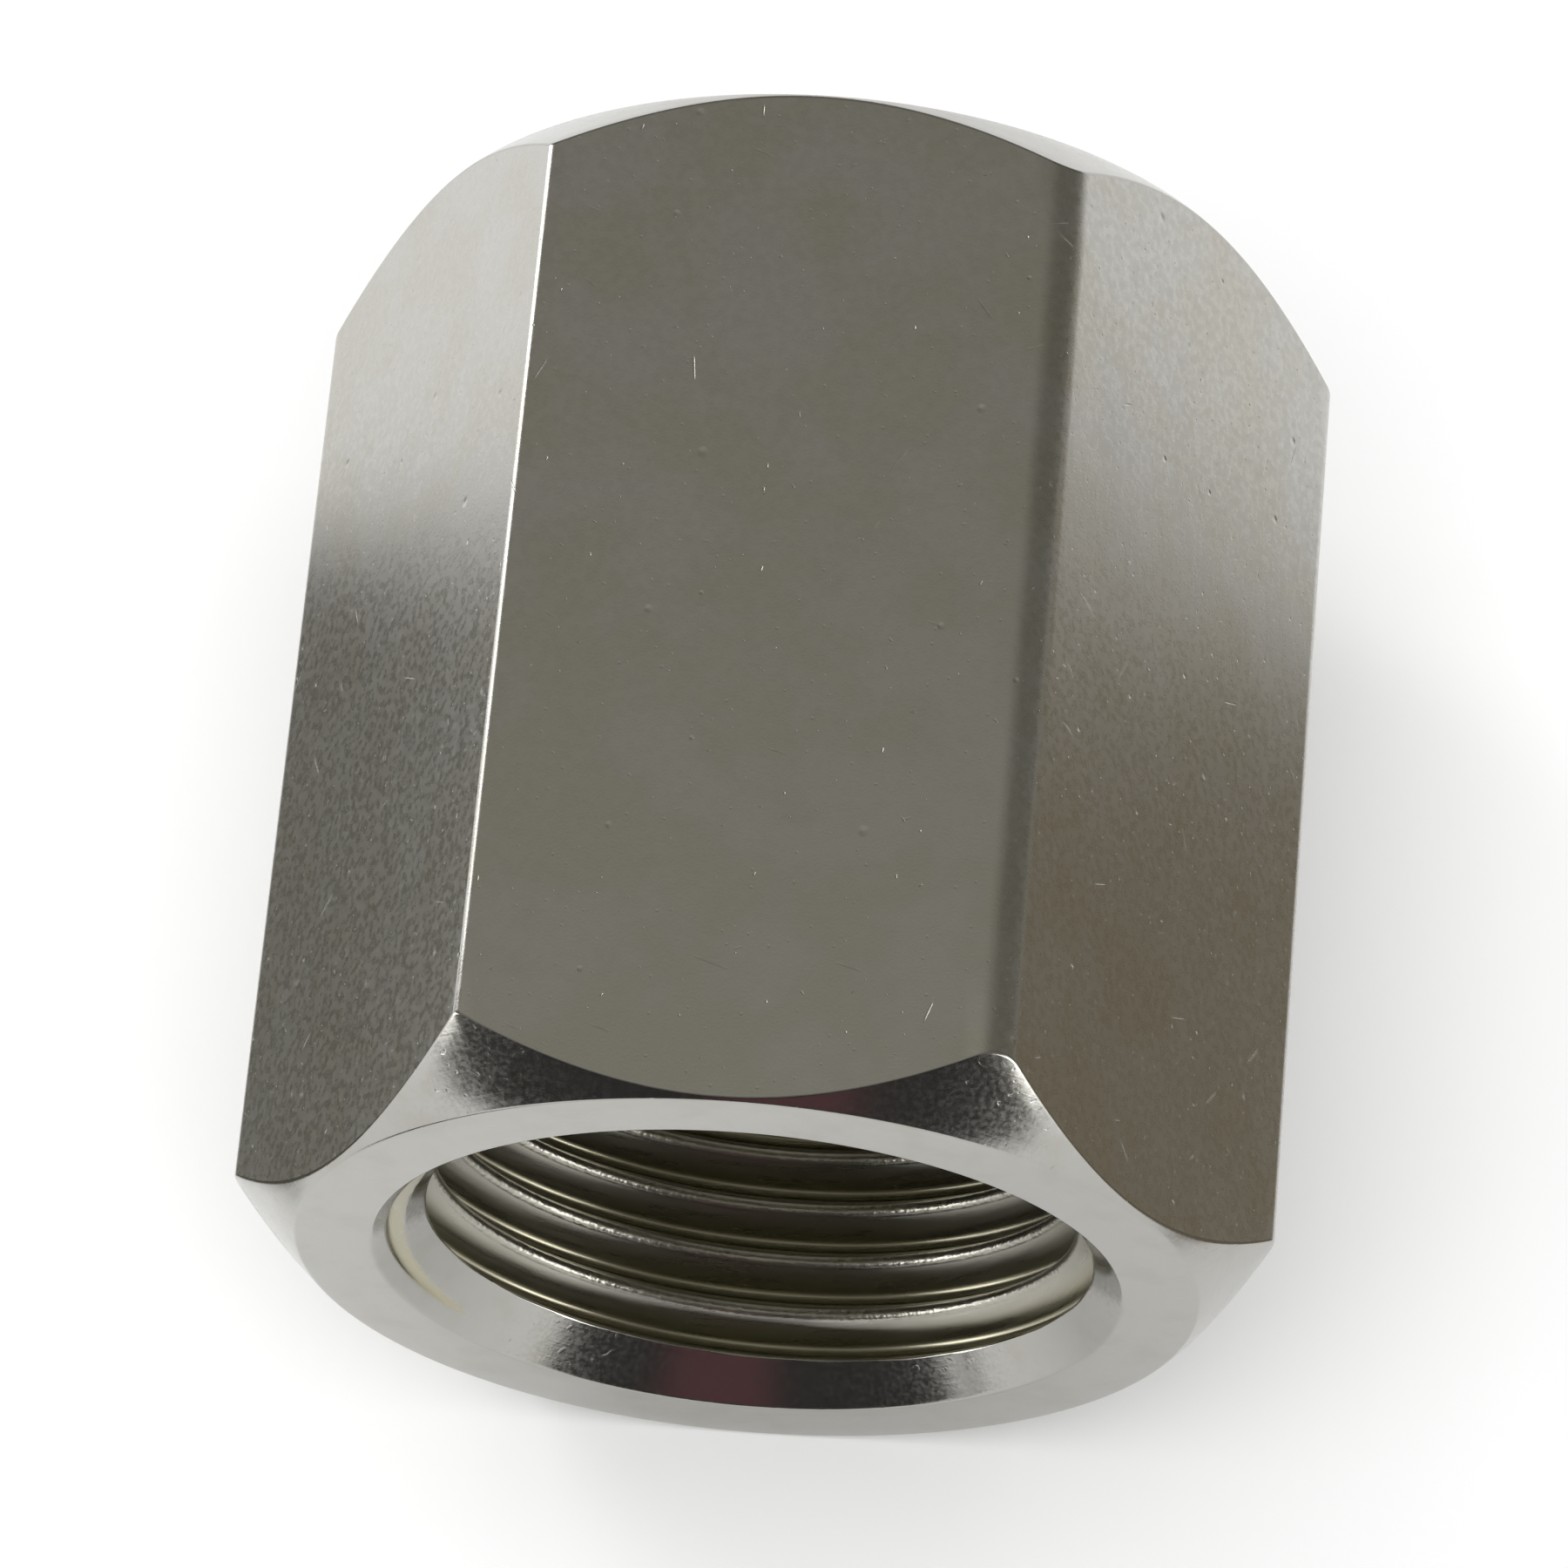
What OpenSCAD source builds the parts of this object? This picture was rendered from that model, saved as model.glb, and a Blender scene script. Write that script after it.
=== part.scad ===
// Threaded socket, turned in one piece from hexagon bar and tapped right through.
// It lies on one flat of the hexagon: the bore runs along Y, X goes across the corners, Z is up.
// The origin is on the floor below the middle of the bore. All sizes are in millimetres.

/* [Hexagon bar] */
// Width of the bar across two opposite flats
across_flats = 21; // [19:0.5:40]
// Length of the socket, from end face to end face
socket_length = 25.2; // [12:0.1:60]
// Rounding that drawing leaves along an edge of the bar
edge_radius = 0.6; // [0.2:0.05:2]
// Rounding of the one edge, upper right from the front, that is rolled over further
rolled_edge_radius = 1.1; // [0.2:0.05:2]
// Rounding of the one edge, upper left from the front, that came out of the die nearly sharp
keen_edge_radius = 0.2; // [0.1:0.05:2]

/* [Turned ends] */
// How far the flat end face stops short of the bar's flats, measured on the radius
face_inset = 0.1; // [0:0.05:0.8]
// Slope of the turned corners, measured from the end face
corner_slope = 45; // [15:1:60]

/* [Thread] */
// Diameter over the roots of the internal thread
thread_root_diameter = 16.662; // [8:0.001:18]
// Advance of the thread in one turn
thread_pitch = 1.337; // [0.5:0.001:2.5]

/* [Countersinks] */
// How far the mouth of each countersink stands outside the thread, measured on the radius
countersink_margin = 0.34; // [0.1:0.02:0.8]
// Slope of each countersink, measured from the axis of the bore
countersink_slope = 45; // [30:1:60]

/* [Hidden] */

$fn = 96;
nickel = [0.66, 0.65, 0.62];
overrun = 1;            // how far a cutting shape runs past the metal it cuts
sides = 6;
side_angle = 360 / sides;
round_steps = 8;        // short straight lines along each round of the bar's section

// A 55 degree pipe thread is 0.640327 of its pitch deep
depth_per_pitch = 0.640327;
bore_radius = thread_root_diameter / 2 - depth_per_pitch * thread_pitch;
mouth_radius = thread_root_diameter / 2 + countersink_margin;
countersink_depth = (mouth_radius - bore_radius) / tan(countersink_slope);

flat_distance = across_flats / 2;
sharp_corner_radius = flat_distance / cos(side_angle / 2);
face_radius = flat_distance - face_inset;
blank_radius = sharp_corner_radius + overrun;
corner_fall = (blank_radius - face_radius) * tan(corner_slope);
half_length = socket_length / 2;

// One radius for each edge of the bar, clockwise from the edge at upper right
edge_radii = [rolled_edge_radius, for (i = [1:sides - 2]) edge_radius, keen_edge_radius];

// Unit vector at an angle measured clockwise from straight up
function clockwise(angle) = [sin(angle), cos(angle)];

// Direction of edge i of the bar, clockwise from straight up
function edge_direction(i) = side_angle * (i + 0.5);

// Centre of the round along edge i
function round_centre(i) =
    (flat_distance - edge_radii[i]) / cos(side_angle / 2) * clockwise(edge_direction(i));

// Point on the round of edge i, from the end of one flat (share 0) to the start of the next (share 1)
function round_point(i, share) =
    round_centre(i) + edge_radii[i] * clockwise(edge_direction(i) + side_angle * (share - 0.5));

// Section of the drawn bar, a hexagon with a flat at the bottom and rounded corners
module bar_section() {
    polygon([for (i = [0:sides - 1], step = [0:round_steps]) round_point(i, step / round_steps)]);
}

// Solid of revolution that the lathe leaves: at both ends the corners fall away in a cone
module turned_blank() {
    rotate_extrude()
        polygon([
            [0, -half_length],
            [face_radius, -half_length],
            [blank_radius, -half_length + corner_fall],
            [blank_radius, half_length - corner_fall],
            [face_radius, half_length],
            [0, half_length]
        ]);
}

// Metal taken out of the middle: a bore at the thread's crests, with a countersink at each end
module bored_hole() {
    end = half_length + overrun;
    throat = half_length - countersink_depth;
    over_radius = mouth_radius + overrun * tan(countersink_slope);
    rotate_extrude()
        polygon([
            [0, -end],
            [over_radius, -end],
            [bore_radius, -throat],
            [bore_radius, throat],
            [over_radius, end],
            [0, end]
        ]);
}

// The whole socket, stood on one flat with its front end towards -Y
module socket_body() {
    color(nickel)
        translate([0, 0, flat_distance])
            rotate([90, 0, 0])
                difference() {
                    intersection() {
                        linear_extrude(height = socket_length, center = true)
                            bar_section();
                        turned_blank();
                    }
                    bored_hole();
                }
}

socket_body();
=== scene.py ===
# Threaded socket of nickel-plated brass, turned from drawn hexagon bar and tapped right through.
# It lies on one flat: the bore runs along Y with its front mouth towards -Y, and Z is up.
# Shapes are worked out in millimetres round the axis of the bore, and become metres last.

import math
import bmesh
import bpy
import numpy as np
from mathutils import Matrix, Vector


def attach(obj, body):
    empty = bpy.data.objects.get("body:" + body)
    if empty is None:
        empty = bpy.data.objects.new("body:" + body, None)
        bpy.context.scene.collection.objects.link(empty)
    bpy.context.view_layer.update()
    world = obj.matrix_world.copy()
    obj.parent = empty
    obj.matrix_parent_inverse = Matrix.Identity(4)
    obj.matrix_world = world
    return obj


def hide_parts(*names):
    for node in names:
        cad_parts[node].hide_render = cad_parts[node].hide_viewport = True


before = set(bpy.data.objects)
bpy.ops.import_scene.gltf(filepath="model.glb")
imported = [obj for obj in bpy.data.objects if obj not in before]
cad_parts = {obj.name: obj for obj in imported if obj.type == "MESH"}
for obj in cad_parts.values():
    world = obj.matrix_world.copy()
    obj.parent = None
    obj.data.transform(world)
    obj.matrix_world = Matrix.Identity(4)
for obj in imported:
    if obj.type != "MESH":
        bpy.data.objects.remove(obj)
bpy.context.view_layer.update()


def clockwise(angle):
    # Unit vector (x, z) at an angle in radians, counted clockwise from straight up, seen from the front.
    return np.stack([np.sin(angle), np.cos(angle)], -1)


def smoothStep(value, low, high):
    # 0 below low and 1 above high, with the cubic 3t^2 - 2t^3 between them.
    t = np.clip((value - low) / (high - low), 0.0, 1.0)
    return t * t * (3.0 - 2.0 * t)


socket = dict(
    acrossFlats=21.0,         # between two opposite flats
    length=25.2,              # from end face to end face
    edgeRounds=(1.1, 0.6, 0.6, 0.6, 0.6, 0.2),    # clockwise from the upper right edge of the bar
    faceRadius=10.4,          # where the end face stops and the 45 degree corners start
    mouthRadius=8.671,        # outer rim of the 45 degree countersink
    throatDepth=1.25,         # depth at which the countersink has met the crests all the way round
    edgeBreak=0.05,           # how far each turned edge is worn back
    flatColumns=32,
    roundColumns=10,
    flatRows=10,
    sinkStep=0.036,           # row spacing down the countersink
)
thread = dict(
    pitch=1.337,              # 3/8 inch parallel pipe thread, right hand, 55 degrees
    rootRadius=8.331,
    firstRoot=0.73,           # depth of a root straight above the axis
    rootSteps=(-1.0, -0.68, -0.34, 0.0, 0.34, 0.68, 1.0),     # rows on a rounded root, shares of its half width
    crestSteps=(-1.0, -0.5, 0.0, 0.5, 1.0),
)
half = socket["acrossFlats"] / 2
side = math.pi / 3
flank = math.radians(27.5)
formRound = 0.137329 * thread["pitch"]            # radius of the rounded roots and crests of this form
crestRadius = thread["rootRadius"] - 0.640327 * thread["pitch"]
roundHalf = formRound * math.cos(flank)           # half width of a rounded root or crest, along the axis


def barSection():
    # Outline of the bar, clockwise from the middle of the bottom flat and back to it: flats at half the width
    # across them, and between two flats an arc of the edge's radius about a point on the edge's direction.
    # Gives each point's angle, its distance from the axis and how far round the outline it lies.
    parts = []
    rounds = socket["edgeRounds"]
    for k in range(3, 10):
        start = -(half - rounds[(k - 1) % 6]) * math.tan(side / 2) if k > 3 else 0.0
        stop = (half - rounds[k % 6]) * math.tan(side / 2) if k < 9 else 0.0
        count = socket["flatColumns"] if 3 < k < 9 else socket["flatColumns"] // 2
        along = np.linspace(start, stop, count + 1)[:, None]
        parts.append(half * clockwise(side * k) + along * clockwise(side * k + math.pi / 2))
        if k < 9:
            turn = side * (k + 0.5)
            share = np.linspace(-0.5, 0.5, socket["roundColumns"] + 2)[1:-1]
            centre = (half - rounds[k % 6]) / math.cos(side / 2) * clockwise(turn)
            parts.append(centre + rounds[k % 6] * clockwise(turn + side * share))
    points = np.concatenate(parts)
    angle = np.unwrap(np.arctan2(points[:, 0], points[:, 1]))
    way = np.concatenate([[0.0], np.cumsum(np.hypot(*np.diff(points, axis=0).T))])
    return angle, np.hypot(points[:, 0], points[:, 1]), way


def threadRadius(depth, angle):
    # Radius of the 55 degree form at a depth and an angle. The distance from the nearest root along the helix
    # gives an arc at the root, a straight flank, and an arc at the crest that bends the other way.
    turns = (depth - thread["firstRoot"]) / thread["pitch"] - angle / (2 * math.pi)
    away = np.abs(turns - np.round(turns)) * thread["pitch"]
    fromCrest = thread["pitch"] / 2 - away
    root = thread["rootRadius"] - formRound + np.sqrt(np.maximum(formRound ** 2 - away ** 2, 0.0))
    crest = crestRadius + formRound - np.sqrt(np.maximum(formRound ** 2 - fromCrest ** 2, 0.0))
    flankTop = thread["rootRadius"] - formRound * (1 - math.sin(flank))
    straight = flankTop - (away - roundHalf) / math.tan(flank)
    return np.where(away < roundHalf, root, np.where(fromCrest < roundHalf, crest, straight))


def brokenEdge(radius, depth, before, after):
    # Four rows over an edge: the quadratic curve that leaves one surface a little before the edge
    # and joins the next a little after it. before and after are (radius, depth) directions away from the edge.
    rows = []
    for t in (0.0, 0.33, 0.67, 1.0):
        a, b = (1 - t) ** 2 * socket["edgeBreak"], t ** 2 * socket["edgeBreak"]
        rows.append((radius + a * before[0] + b * after[0], depth + a * before[1] + b * after[1]))
    return rows


def endRows(angle, outline, atFront):
    # Rows from the end of the flats over the turned corner, the end face and the countersink to the throat.
    # Depth is counted from this end. In the countersink the surface is the wider of cone and thread.
    slope = math.sqrt(0.5)
    ones = np.ones_like(angle)
    rows = brokenEdge(outline, outline - socket["faceRadius"], (0.0, 1.0), (-slope, -slope))
    inner, outer = rows[-1], brokenEdge(socket["faceRadius"] * ones, 0.0 * ones, (slope, slope), (-1.0, 0.0))
    for t in (0.33, 0.67):
        rows.append((inner[0] + t * (outer[0][0] - inner[0]), inner[1] + t * (outer[0][1] - inner[1])))
    rows += outer
    rim = brokenEdge(socket["mouthRadius"] * ones, 0.0 * ones, (1.0, 0.0), (-slope, slope))
    rows += [(outer[-1][0] + t * (rim[0][0] - outer[-1][0]), 0.0 * ones) for t in (0.33, 0.67)]
    rows += rim
    solidRows = len(rows)
    start, stop = rim[-1][1][0], socket["throatDepth"]
    for depth in np.linspace(start, stop, int((stop - start) / socket["sinkStep"]) + 1)[1:]:
        fromFront = depth if atFront else socket["length"] - depth
        cone = socket["mouthRadius"] - depth
        rows.append((np.maximum(cone, threadRadius(fromFront, angle)), depth * ones))
    radius = np.stack([r for r, d in rows])
    depth = np.stack([d for r, d in rows])
    return radius, (depth if atFront else socket["length"] - depth), solidRows


def boreRows(angle):
    # Rows that follow the helix: each lies at one place of the thread form all the way round, so that roots and
    # crests are smooth lines. Rows past a throat are held at it, where their spare points merge.
    spots = [roundHalf * s for s in thread["rootSteps"]]
    spots += [thread["pitch"] / 2 + roundHalf * s for s in thread["crestSteps"]]
    turns = np.arange(-2, int(socket["length"] / thread["pitch"]) + 2)
    places = np.sort((turns[:, None] * thread["pitch"] + np.array(spots)[None, :]).ravel())
    depth = thread["firstRoot"] + places[:, None] + thread["pitch"] * angle[None, :] / (2 * math.pi)
    low, high = socket["throatDepth"], socket["length"] - socket["throatDepth"]
    keep = (depth.max(1) > low) & (depth.min(1) < high)
    depth = np.clip(depth[keep], low, high)
    return threadRadius(depth, angle[None, :]), depth


def toSpace(radius, angle, depth):
    # Metres, from a radius about the axis of the bore, an angle clockwise from up and a depth behind the front.
    x, z = radius * np.sin(angle), half + radius * np.cos(angle)
    return np.stack([x, depth - socket["length"] / 2, z], -1) * 0.001


def gridPiece(name, points, material, closed=False, faceMaterial=None, tones=None, unrolled=None):
    # Quads between neighbouring rows and columns of a grid of points, with the last row joined to the first
    # if closed. Points that coincide are merged, which closes the seam and the ragged ends of the thread.
    # tones holds a colour and a cover for each point, and unrolled its place on the flattened surface.
    rows, columns = points.shape[:2]
    index = np.arange(rows * columns).reshape(rows, columns)
    if closed:
        index = np.concatenate([index, index[:1]])
    quads = np.stack([index[:-1, :-1], index[1:, :-1], index[1:, 1:], index[:-1, 1:]], -1).reshape(-1, 4)
    mesh = bpy.data.meshes.new(name)
    mesh.from_pydata(points.reshape(-1, 3).tolist(), [], quads.tolist())
    for m in material:
        mesh.materials.append(m)
    if faceMaterial is not None:
        mesh.polygons.foreach_set("material_index", faceMaterial.ravel().astype(np.int32))
    if unrolled is not None:
        layer = mesh.uv_layers.new(name="unrolled")
        layer.uv.foreach_set("vector", unrolled.reshape(-1, 2)[quads].reshape(-1).astype(np.float32))
    if tones is not None:
        layer = mesh.color_attributes.new("tone", "FLOAT_COLOR", "POINT")
        layer.data.foreach_set("color", tones.reshape(-1).astype(np.float32))
    work = bmesh.new()
    work.from_mesh(mesh)
    bmesh.ops.remove_doubles(work, verts=work.verts, dist=5e-8)
    work.to_mesh(mesh)
    work.free()
    mesh.polygons.foreach_set("use_smooth", np.ones(len(mesh.polygons), bool))
    mesh.update()
    piece = bpy.data.objects.new(name, mesh)
    bpy.context.scene.collection.objects.link(piece)
    return piece


def toLinear(code):
    # sRGB hex to linear: a twelfth part near black, the 2.4 power above it.
    parts = [int(code[i:i + 2], 16) / 255 for i in (1, 3, 5)]
    return tuple(c / 12.92 if c <= 0.04045 else ((c + 0.055) / 1.055) ** 2.4 for c in parts) + (1.0,)


def addNode(tree, kind, settings=None, links=None):
    # A node with its settings, and each input either linked from a socket or set to a value.
    node = tree.nodes.new(kind)
    for name, value in (settings or {}).items():
        setattr(node, name, value)
    for name, value in (links or {}).items():
        if isinstance(value, bpy.types.NodeSocket):
            tree.links.new(value, node.inputs[name])
        else:
            node.inputs[name].default_value = value
    return node


def newMaterial(name):
    material = bpy.data.materials.new(name)
    material.use_nodes = True
    material.node_tree.nodes.clear()
    return material, material.node_tree


def maths(tree, operation, first, second=0.0, third=0.0, clamp=False):
    # One step of arithmetic on numbers or sockets.
    return addNode(tree, "ShaderNodeMath", {"operation": operation, "use_clamp": clamp},
                   {0: first, 1: second, 2: third}).outputs[0]


def ramp(tree, value, low, high, start=0.0, stop=1.0):
    # A smooth step from start at low to stop at high.
    limits = {"From Min": low, "From Max": high, "To Min": start, "To Max": stop}
    return addNode(tree, "ShaderNodeMapRange", {"interpolation_type": "SMOOTHSTEP"},
                   {"Value": value, **limits}).outputs[0]


def speckle(tree, place, perMillimetre, detail=2.0, roughness=0.5):
    # Noise with about so many lumps to the millimetre, centred on 0.5.
    settings = {"Scale": perMillimetre, "Detail": detail, "Roughness": roughness}
    return addNode(tree, "ShaderNodeTexNoise", None, {"Vector": place, **settings}).outputs[0]


def millimetres(tree):
    # Object coordinates in millimetres, measured from the axis of the bore.
    metres = addNode(tree, "ShaderNodeTexCoord").outputs["Object"]
    return addNode(tree, "ShaderNodeMapping", {"vector_type": "POINT"},
                   {"Vector": metres, "Location": (0.0, 0.0, -half), "Scale": (1000.0,) * 3}).outputs[0]


def stretched(tree, place, scale):
    # Place with each axis multiplied, so that a pattern on it is drawn out along the axes under 1.
    return addNode(tree, "ShaderNodeVectorMath", {"operation": "MULTIPLY"}, {0: place, 1: scale}).outputs[0]


def strokes(tree, place, spacing, width, length, share, turnFrom, turnTo):
    # Short straight marks on the unrolled surface: one to a cell of the given spacing, in a share of the cells,
    # each turned at random between two angles. 1 on the mark and 0 off it. Sizes in millimetres.
    cells = addNode(tree, "ShaderNodeTexVoronoi", {"voronoi_dimensions": "2D"},
                    {"Vector": place, "Scale": 1.0 / spacing, "Randomness": 1.0})
    dice = addNode(tree, "ShaderNodeSeparateColor", None, {"Color": cells.outputs["Color"]})
    local = addNode(tree, "ShaderNodeVectorMath", {"operation": "SUBTRACT"},
                    {0: place, 1: cells.outputs["Position"]})
    turn = ramp(tree, dice.outputs[0], 0.0, 1.0, turnFrom, turnTo)
    turned = addNode(tree, "ShaderNodeVectorRotate", {"rotation_type": "Z_AXIS"},
                     {"Vector": local.outputs[0], "Angle": turn})
    parts = addNode(tree, "ShaderNodeSeparateXYZ", None, {"Vector": turned.outputs[0]})
    across = ramp(tree, maths(tree, "ABSOLUTE", parts.outputs[1]), width * 0.2, width * 0.5, 1.0, 0.0)
    reach = maths(tree, "MULTIPLY", dice.outputs[1], length / 2)
    along = maths(tree, "ABSOLUTE", parts.outputs[0])
    on = ramp(tree, maths(tree, "SUBTRACT", along, reach), -0.3 * length, 0.0, 1.0, 0.0)
    chosen = maths(tree, "LESS_THAN", dice.outputs[2], share)
    return maths(tree, "MULTIPLY", maths(tree, "MULTIPLY", across, on), chosen)


def dents(tree, place, spacing, radius, share):
    # Round pits on the unrolled surface, one to a cell in a share of the cells. 1 in the middle, 0 at the rim.
    cells = addNode(tree, "ShaderNodeTexVoronoi", {"voronoi_dimensions": "2D"},
                    {"Vector": place, "Scale": 1.0 / spacing, "Randomness": 1.0})
    dice = addNode(tree, "ShaderNodeSeparateColor", None, {"Color": cells.outputs["Color"]})
    size = ramp(tree, dice.outputs[1], 0.0, 1.0, radius * 0.45 / spacing, radius / spacing)
    reach = maths(tree, "DIVIDE", cells.outputs["Distance"], size)
    pit = ramp(tree, reach, 0.0, 1.0, 1.0, 0.0)
    return maths(tree, "MULTIPLY", pit, maths(tree, "LESS_THAN", dice.outputs[2], share))


def heights(tree, *layers):
    # Sum of height layers in millimetres, each a pattern and what it is multiplied by.
    total = 0.0
    for pattern, amount in layers:
        total = maths(tree, "MULTIPLY_ADD", pattern, amount, total)
    return total


def finishMetal(tree, colour, roughness, height):
    # Metal shader with a height in millimetres worked out as bump.
    bump = addNode(tree, "ShaderNodeBump", None, {"Height": height, "Strength": 1.0, "Distance": 0.001})
    shader = addNode(tree, "ShaderNodeBsdfPrincipled", None,
                     {"Base Color": colour, "Metallic": 1.0, "Roughness": roughness, "Normal": bump.outputs[0]})
    addNode(tree, "ShaderNodeOutputMaterial", None, {"Surface": shader.outputs[0]})


def blendColour(tree, amount, first, second):
    return addNode(tree, "ShaderNodeMix", {"data_type": "RGBA"},
                   {"Factor": amount, 6: first, 7: second}).outputs[2]


# Nickel plate over drawn brass: a dull satin that keeps the bar's shallow dimples, with hairlines and dents.
drawn = dict(
    clean="#bcbbb6", tarnished="#b9b7ae",         # the plate, and where it has yellowed a little
    roughness=(0.24, 0.33),
    waves=0.011,              # mm high, lumps 1.6 mm across
    dimples=0.0022,           # mm high, lumps 0.28 mm across
    grain=0.0016,             # mm high, lumps 0.07 mm across
)
drawnNickel, tree = newMaterial("drawnNickelPlate")
place = millimetres(tree)
sheet = addNode(tree, "ShaderNodeUVMap", {"uv_map": "unrolled"}).outputs[0]
waves = speckle(tree, stretched(tree, place, (1.0, 0.5, 1.0)), 0.6, 1.0)
dimples = speckle(tree, stretched(tree, place, (1.0, 0.6, 1.0)), 3.6, 1.5)
grain = speckle(tree, place, 14.0, 1.0)
drawLines = speckle(tree, stretched(tree, place, (1.0, 0.03, 1.0)), 9.0, 1.0)
hairlines = strokes(tree, sheet, 1.7, 0.055, 0.9, 0.35, -1.3, 1.3)
nicks = strokes(tree, sheet, 0.62, 0.05, 0.16, 0.16, 0.0, 3.1)
pits = dents(tree, sheet, 2.3, 0.16, 0.3)
specks = dents(tree, sheet, 0.5, 0.05, 0.3)
height = heights(tree, (waves, drawn["waves"]), (dimples, drawn["dimples"]), (grain, drawn["grain"]),
                 (drawLines, 0.0006), (hairlines, -0.006), (nicks, -0.008), (pits, -0.012), (specks, -0.006))
tarnish = speckle(tree, place, 0.35, 3.0, 0.6)
worn = ramp(tree, tarnish, 0.4, 0.62)
colour = blendColour(tree, worn, toLinear(drawn["clean"]), toLinear(drawn["tarnished"]))
rough = ramp(tree, speckle(tree, place, 5.0, 3.0), 0.3, 0.7, *drawn["roughness"])
finishMetal(tree, colour, rough, height)


def aboutBore(tree, place):
    # The parts of a place, its distance from the axis of the bore, and the parts of the direction from there.
    parts = addNode(tree, "ShaderNodeSeparateXYZ", None, {"Vector": place})
    flat = addNode(tree, "ShaderNodeCombineXYZ", None, {"X": parts.outputs[0], "Y": 0.0, "Z": parts.outputs[2]})
    radial = addNode(tree, "ShaderNodeVectorMath", {"operation": "LENGTH"}, {0: flat.outputs[0]})
    away = addNode(tree, "ShaderNodeVectorMath", {"operation": "NORMALIZE"}, {0: flat.outputs[0]})
    spin = addNode(tree, "ShaderNodeSeparateXYZ", None, {"Vector": away.outputs[0]})
    return parts, radial.outputs["Value"], spin


def ringPlace(tree, spin, lumps, across):
    # Place for a noise drawn out round the bore: a circle of radius lumps, with across as its height.
    x = maths(tree, "MULTIPLY", spin.outputs[0], lumps)
    z = maths(tree, "MULTIPLY", spin.outputs[2], lumps)
    return addNode(tree, "ShaderNodeCombineXYZ", None, {"X": x, "Y": across, "Z": z}).outputs[0]


# Nickel plate over turned brass: bright, with fine rings left by the tool and a few pits from plating.
turned = dict(clean="#aaa9a4", stained="#a6a49d", roughness=(0.12, 0.2), rings=0.0018, pits=0.002)
turnedNickel, tree = newMaterial("turnedNickelPlate")
place = millimetres(tree)
parts, radial, spin = aboutBore(tree, place)
ring = ringPlace(tree, spin, 2.2, maths(tree, "MULTIPLY", radial, 9.0))
rings = speckle(tree, ring, 1.0, 3.0, 0.65)
dust = speckle(tree, place, 9.0, 2.0)
pocks = ramp(tree, speckle(tree, place, 4.5, 1.0), 0.68, 0.76)
height = heights(tree, (rings, turned["rings"]), (dust, 0.0012), (pocks, -turned["pits"]))
colour = blendColour(tree, ramp(tree, speckle(tree, place, 0.8, 3.0, 0.6), 0.45, 0.7),
                     toLinear(turned["clean"]), toLinear(turned["stained"]))
finishMetal(tree, colour, ramp(tree, dust, 0.3, 0.7, *turned["roughness"]), height)

# Nickel plate over a tapped thread: burnished by the tap, and darker and yellower towards the roots of the
# thread.
tapped = dict(crest="#b1aea4", root="#aca893", roughness=(0.26, 0.34), lines=0.0012)
tappedNickel, tree = newMaterial("tappedNickelPlate")
place = millimetres(tree)
parts, radial, spin = aboutBore(tree, place)
ring = ringPlace(tree, spin, 3.0, maths(tree, "MULTIPLY", parts.outputs[1], 11.0))
lines = speckle(tree, ring, 1.0, 2.0, 0.6)
torn = maths(tree, "MULTIPLY", speckle(tree, place, 7.0, 1.0), ramp(tree, radial, 7.5, 7.62, 1.0, 0.0))
height = heights(tree, (lines, tapped["lines"]), (torn, 0.02))
# Colour darker and yellower towards the roots, by distance from the axis
rootShare = ramp(tree, radial, 7.6, 8.25)
colour = blendColour(tree, rootShare, toLinear(tapped["crest"]), toLinear(tapped["root"]))
finishMetal(tree, colour, ramp(tree, lines, 0.3, 0.7, *tapped["roughness"]), height)
print("materials made")


angle, outline, way = barSection()
frontRadius, frontDepth, solidRows = endRows(angle, outline, True)
backRadius, backDepth, _ = endRows(angle, outline, False)
boreRadius, boreDepth = boreRows(angle)
share = np.linspace(0.0, 1.0, socket["flatRows"] + 2)[1:-1, None]
flatDepth = backDepth[0] + share * (frontDepth[0] - backDepth[0])
flatRadius = np.broadcast_to(outline, flatDepth.shape)
radius = np.concatenate([flatRadius, frontRadius, boreRadius, backRadius[::-1]])
depth = np.concatenate([flatDepth, frontDepth, boreDepth, backDepth[::-1]])
flats, ends, bore = len(flatRadius), len(frontRadius), len(boreRadius)

# Material of each row of faces, and in the countersink of each face: turned where the cone shows, else tapped.
faceKind = np.ones((len(radius), len(angle) - 1))
faceKind[:flats] = 0
faceKind[-1] = 0
faceKind[flats + ends - 1:flats + ends + bore] = 2
middle = (radius[:-1, :-1] + radius[1:, 1:]) / 2
coneFront = socket["mouthRadius"] - (depth[:-1, :-1] + depth[1:, 1:]) / 2
coneBack = socket["mouthRadius"] - socket["length"] + (depth[:-1, :-1] + depth[1:, 1:]) / 2
inSink = (faceKind[:-1] == 1) & (middle < thread["rootRadius"] + 0.01)
faceKind[:-1][inSink & (middle > np.maximum(coneFront, coneBack) + 0.004)] = 2

unrolled = np.stack([depth, np.broadcast_to(way, depth.shape)], -1)
body = gridPiece("threaded_socket", toSpace(radius, angle, depth), [drawnNickel, turnedNickel, tappedNickel],
                 True, faceKind, unrolled=unrolled)
weighted = body.modifiers.new("weightedNormals", "WEIGHTED_NORMAL")
weighted.mode = "FACE_AREA"
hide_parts("socket_body")
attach(body, "root")
print("socket made:", sum(len(p.vertices) - 2 for p in body.data.polygons), "triangles")


studio = dict(
    floorSize=3.0,            # metres
    floorColour="#f3f3f1",
    skyLight=0.5,            # strength of the world on matt surfaces
)
path = ("Is Camera Ray", "Is Glossy Ray", "Is Transmission Ray")


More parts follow.
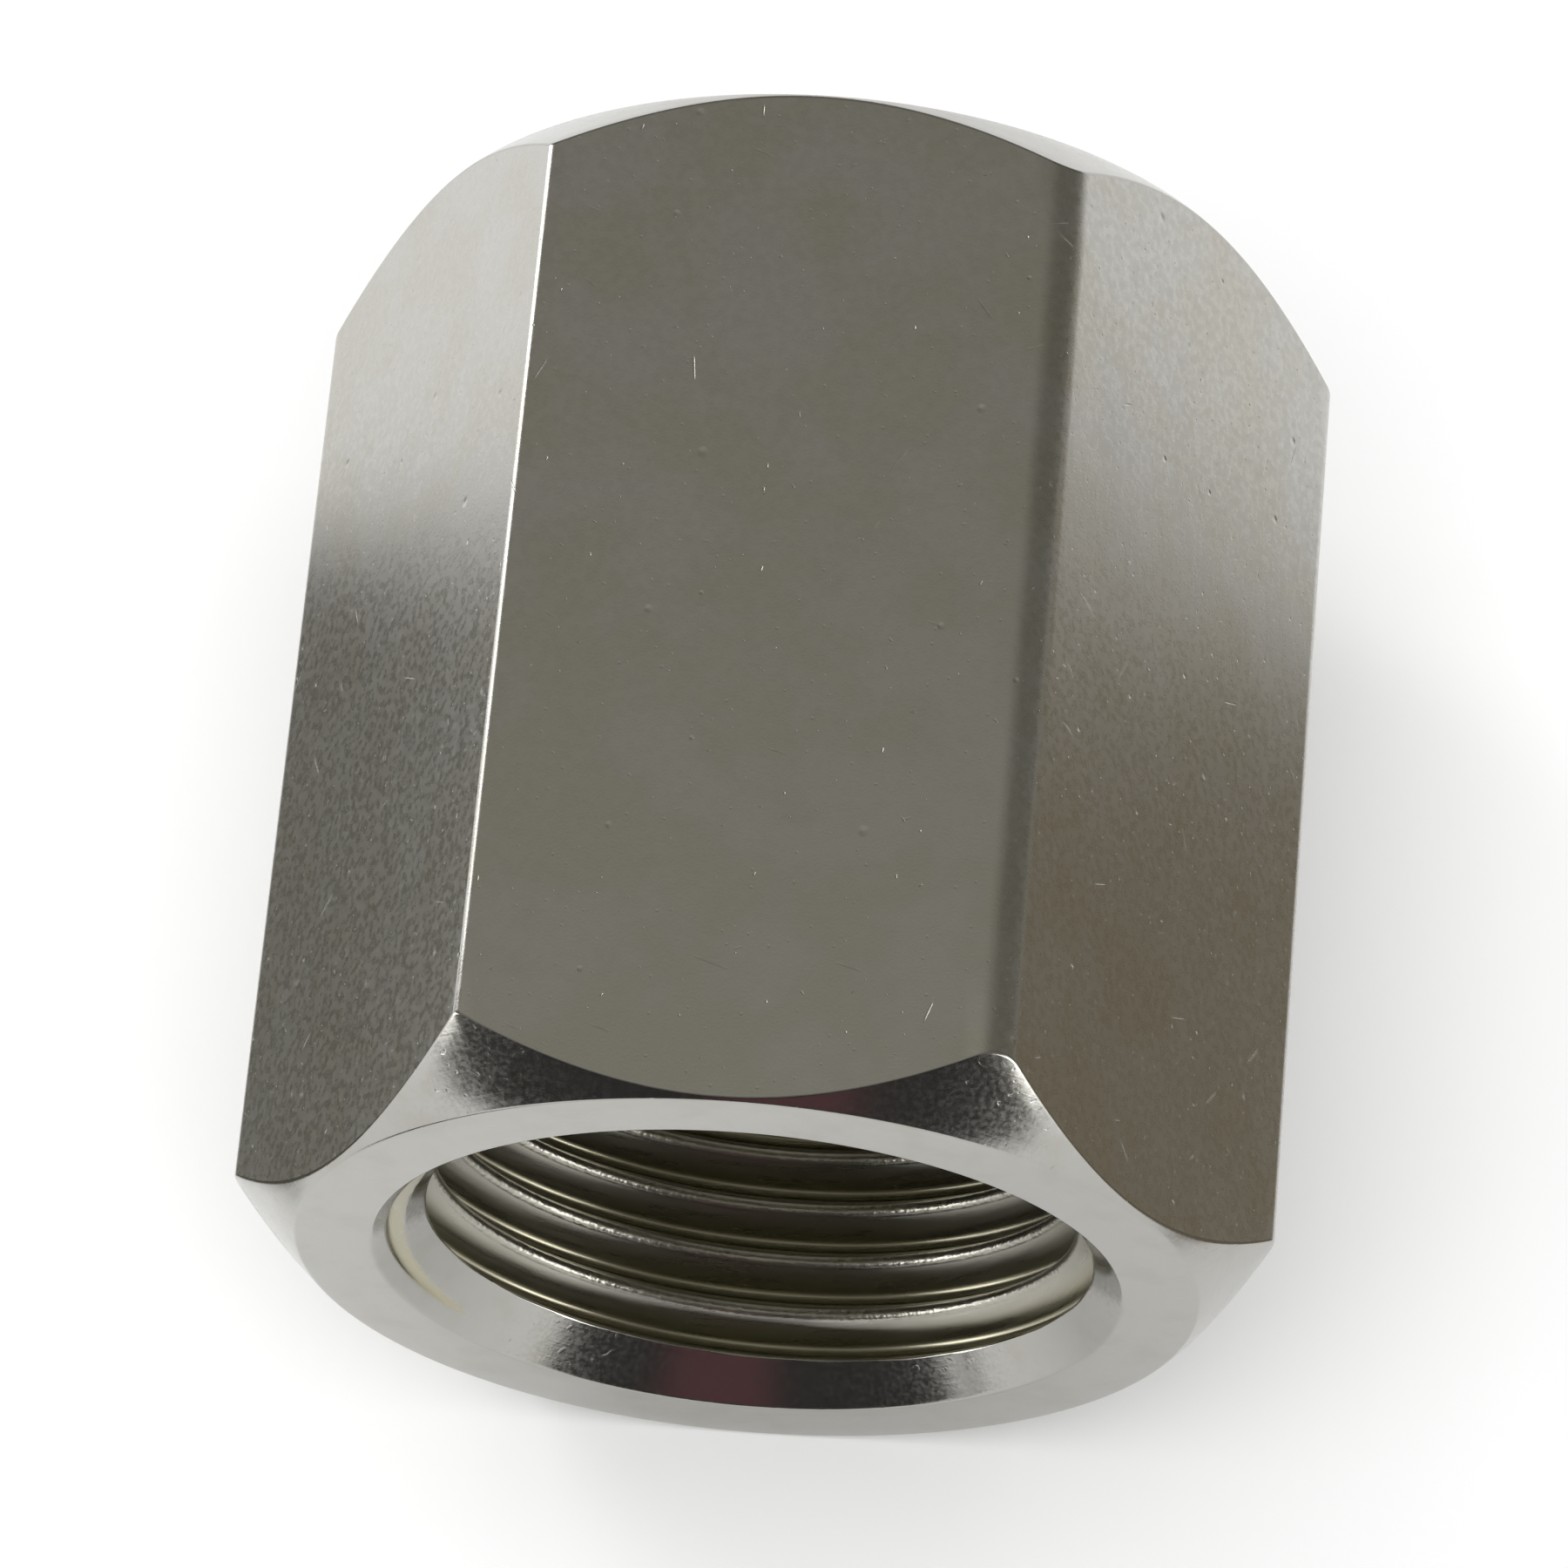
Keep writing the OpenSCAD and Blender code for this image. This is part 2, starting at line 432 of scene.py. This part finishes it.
def seenDirectly(tree):
    # 1 for camera, glossy and transmission rays, 0 for the rays that light matt surfaces.
    rays = addNode(tree, "ShaderNodeLightPath")
    pair = maths(tree, "MAXIMUM", rays.outputs[path[0]], rays.outputs[path[1]])
    return maths(tree, "MAXIMUM", pair, rays.outputs[path[2]])


floorMesh = bpy.data.meshes.new("floor")
edge = studio["floorSize"] / 2
floorMesh.from_pydata([(-edge, -edge, -1e-5), (edge, -edge, -1e-5), (edge, edge, -1e-5), (-edge, edge, -1e-5)],
                      [], [(0, 1, 2, 3)])
floor = bpy.data.objects.new("floor", floorMesh)
bpy.context.scene.collection.objects.link(floor)
floorMaterial, tree = newMaterial("whitePaper")
tint = addNode(tree, "ShaderNodeMix", {"data_type": "RGBA"},
               {"Factor": seenDirectly(tree), 6: toLinear(studio["floorColour"]), 7: (1.0, 1.0, 1.0, 1.0)})
paper = addNode(tree, "ShaderNodeBsdfDiffuse", None, {"Color": tint.outputs[2]})
addNode(tree, "ShaderNodeOutputMaterial", None, {"Surface": paper.outputs[0]})
floorMesh.materials.append(floorMaterial)

world = bpy.data.worlds.new("studio")
bpy.context.scene.world = world
world.use_nodes = True
tree = world.node_tree
tree.nodes.clear()
level = addNode(tree, "ShaderNodeMapRange", None,
                {"Value": seenDirectly(tree), "To Min": studio["skyLight"], "To Max": 1.0})
sky = addNode(tree, "ShaderNodeBackground", None, {"Color": (1.0, 1.0, 1.0, 1.0), "Strength": level.outputs[0]})
addNode(tree, "ShaderNodeOutputWorld", None, {"Surface": sky.outputs[0]})


def window(value, low, high, soft):
    # 1 between low and high and 0 outside, with a smooth step of the given softness at each end.
    return smoothStep(value, low - soft, low + soft) * (1.0 - smoothStep(value, high - soft, high + soft))


def reflectionCard(name, points, tones):
    # A card that only mirrors show, glowing in its tones: a painted reflection, like grey cloth round the table
    # in place of a dark room.
    # tones holds a colour and a cover for each point, and where the cover is 0 the card is open.
    material, tree = newMaterial(name + "Cloth")
    material.cycles.emission_sampling = "NONE"
    tone = addNode(tree, "ShaderNodeAttribute", {"attribute_name": "tone"})
    glow = addNode(tree, "ShaderNodeEmission", None, {"Color": tone.outputs["Color"]})
    clear = addNode(tree, "ShaderNodeBsdfTransparent")
    both = addNode(tree, "ShaderNodeMixShader", None,
                   {0: tone.outputs["Alpha"], 1: clear.outputs[0], 2: glow.outputs[0]})
    addNode(tree, "ShaderNodeOutputMaterial", None, {"Surface": both.outputs[0]})
    card = gridPiece(name, points, [material], tones=tones)
    for kind in ("camera", "diffuse", "shadow", "transmission", "volume_scatter"):
        setattr(card, "visible_" + kind, False)
    return card


def painted(patches, base, first, second):
    # Colours and cover on a grid: each patch is laid over those before it through a window in both directions.
    tones = np.broadcast_to(np.array(base), first.shape + (4,)).copy()
    for low1, high1, low2, high2, soft, tone in patches:
        mask = (window(first, low1, high1, soft) * window(second, low2, high2, soft))[..., None]
        tones += (np.array(tone) - tones) * mask
    return tones


# The tent is a dome of painted reflection: a grey glow with brighter, darker and reddish patches and open
# windows.
# Azimuth is counted from the front towards +X, and both angles are in degrees.
tent = dict(
    radius=0.9,               # metres
    # cloth is the grey glow of the painted reflection, seen only in mirrors
    cloth=(0.25, 0.24, 0.215, 1.0),
    patches=(                 # azimuth from and to, elevation from and to, softness, colour and cover
        (-400, 400, 68, 200, 9, (0.44, 0.43, 0.38, 1.0)),
        (92, 168, -20, 56, 7, (0.17, 0.165, 0.14, 1.0)),
        (-44, 39, -20, 46, 2.5, (0.05, 0.048, 0.047, 1.0)),
        (-6, 17, 14, 31, 2.5, (0.15, 0.07, 0.08, 1.0)),
        (52, 84, -20, 24, 5, (0.5, 0.5, 0.5, 0.0)),
        (-104, -58, -20, 24, 5, (0.5, 0.5, 0.5, 0.0)),
    ),
)
azimuth, elevation = np.meshgrid(np.linspace(-180, 180, 121), np.linspace(-3, 90, 48))
across, rise = np.radians(azimuth), np.radians(elevation)
dome = np.stack([np.sin(across) * np.cos(rise), -np.cos(across) * np.cos(rise), np.sin(rise)], -1)
reflectionCard("tent", dome * tent["radius"], painted(tent["patches"], tent["cloth"], azimuth, elevation))

# Painted dark reflection at both sides of the socket and a small patch in front: sheets just above the table
# that glow in dark tones, which only mirrors show and which cast no shadow. Sizes in millimetres.
paintedDarkReflections = dict(
    level=0.6,                # above the table
    leftTone=(0.12, 0.114, 0.092),
    rightTone=(0.215, 0.185, 0.14),
    frontTone=(0.1, 0.1, 0.09),
)
spread = 14.0                # mm, how far the grid stays even before it widens
x, y = np.meshgrid(spread * np.sinh(np.linspace(-4, 4, 181)), spread * np.sinh(np.linspace(-2.1, 3.6, 121)))
leftEdge, rightEdge = 15 + 0.5 * (-28 - x), 19 + 0.72 * (x - 36)
left = window(x, -52, -20, 3) * window(y, -15, leftEdge, 1.5)
right = window(x, 22, 900, 2) * window(y, -20, rightEdge, 4)
front = 1.0 - smoothStep(np.hypot(x + 24, y + 40), 7, 13)
cover = np.maximum(np.maximum(left, right), front)
tones = left[..., None] * paintedDarkReflections["leftTone"] + right[..., None] * paintedDarkReflections["rightTone"]
tones = (tones + front[..., None] * paintedDarkReflections["frontTone"]) / np.maximum(left + right + front, 1e-6)[..., None]
table = np.stack([x, y, np.full_like(x, paintedDarkReflections["level"])], -1) * 0.001
reflectionCard("paintedDarkReflections", table, np.concatenate([tones, cover[..., None]], -1))


def softbox(name, azimuth, elevation, distance, width, height, power, mirrored=True):
    # A rectangular lamp that faces the socket from an azimuth and an elevation in degrees. Sizes in metres.
    lamp = bpy.data.lights.new(name, "AREA")
    lamp.shape = "RECTANGLE"
    lamp.size, lamp.size_y, lamp.energy = width, height, power
    a, e = math.radians(azimuth), math.radians(elevation)
    towards = Vector((math.sin(a) * math.cos(e), -math.cos(a) * math.cos(e), math.sin(e)))
    holder = bpy.data.objects.new(name, lamp)
    holder.location = towards * distance + Vector((0.0, 0.0, 0.01))
    holder.rotation_euler = towards.to_track_quat("Z", "Y").to_euler()
    holder.visible_glossy = mirrored
    bpy.context.scene.collection.objects.link(holder)
    return holder


softbox("rightSoftbox", 58, 13, 0.5, 0.28, 0.2, 0.5)
softbox("leftSoftbox", -64, 13, 0.5, 0.28, 0.2, 0.5)
softbox("leftBackSoftbox", -124, 20, 0.5, 0.14, 0.36, 0.75)
softbox("topSoftbox", 0, 80, 0.6, 0.7, 0.7, 2.4, mirrored=False)
print("studio made")


camera = dict(
    lens=193.44,              # mm, on a 36 mm sensor
    distance=198.60,          # mm, to the level of the aim
    azimuth=10.442,           # degrees from straight in front, towards +X
    elevation=65.118,
    roll=-6.117,
    slide=(-0.199, -0.129),   # mm, right and up in the picture
)
around, up = math.radians(camera["azimuth"]), math.radians(camera["elevation"])
back = Vector((math.sin(around) * math.cos(up), -math.cos(around) * math.cos(up), math.sin(up)))
right = Vector((0, 0, 1)).cross(back).normalized()
above = back.cross(right)
turn = math.radians(camera["roll"])
rolledRight = math.cos(turn) * right + math.sin(turn) * above
rolledAbove = -math.sin(turn) * right + math.cos(turn) * above
place = Vector((0, 0, half)) + rolledRight * camera["slide"][0] + rolledAbove * camera["slide"][1]
place += back * camera["distance"]
lens = bpy.data.cameras.new("camera")
lens.lens, lens.sensor_width, lens.clip_start = camera["lens"], 36.0, 0.01
viewer = bpy.data.objects.new("camera", lens)
facing = Matrix((rolledRight, rolledAbove, back)).transposed().to_4x4()
viewer.matrix_world = Matrix.Translation(place * 0.001) @ facing
bpy.context.scene.collection.objects.link(viewer)
bpy.context.scene.camera = viewer
bpy.context.scene.view_settings.view_transform = "Standard"
print("camera made")
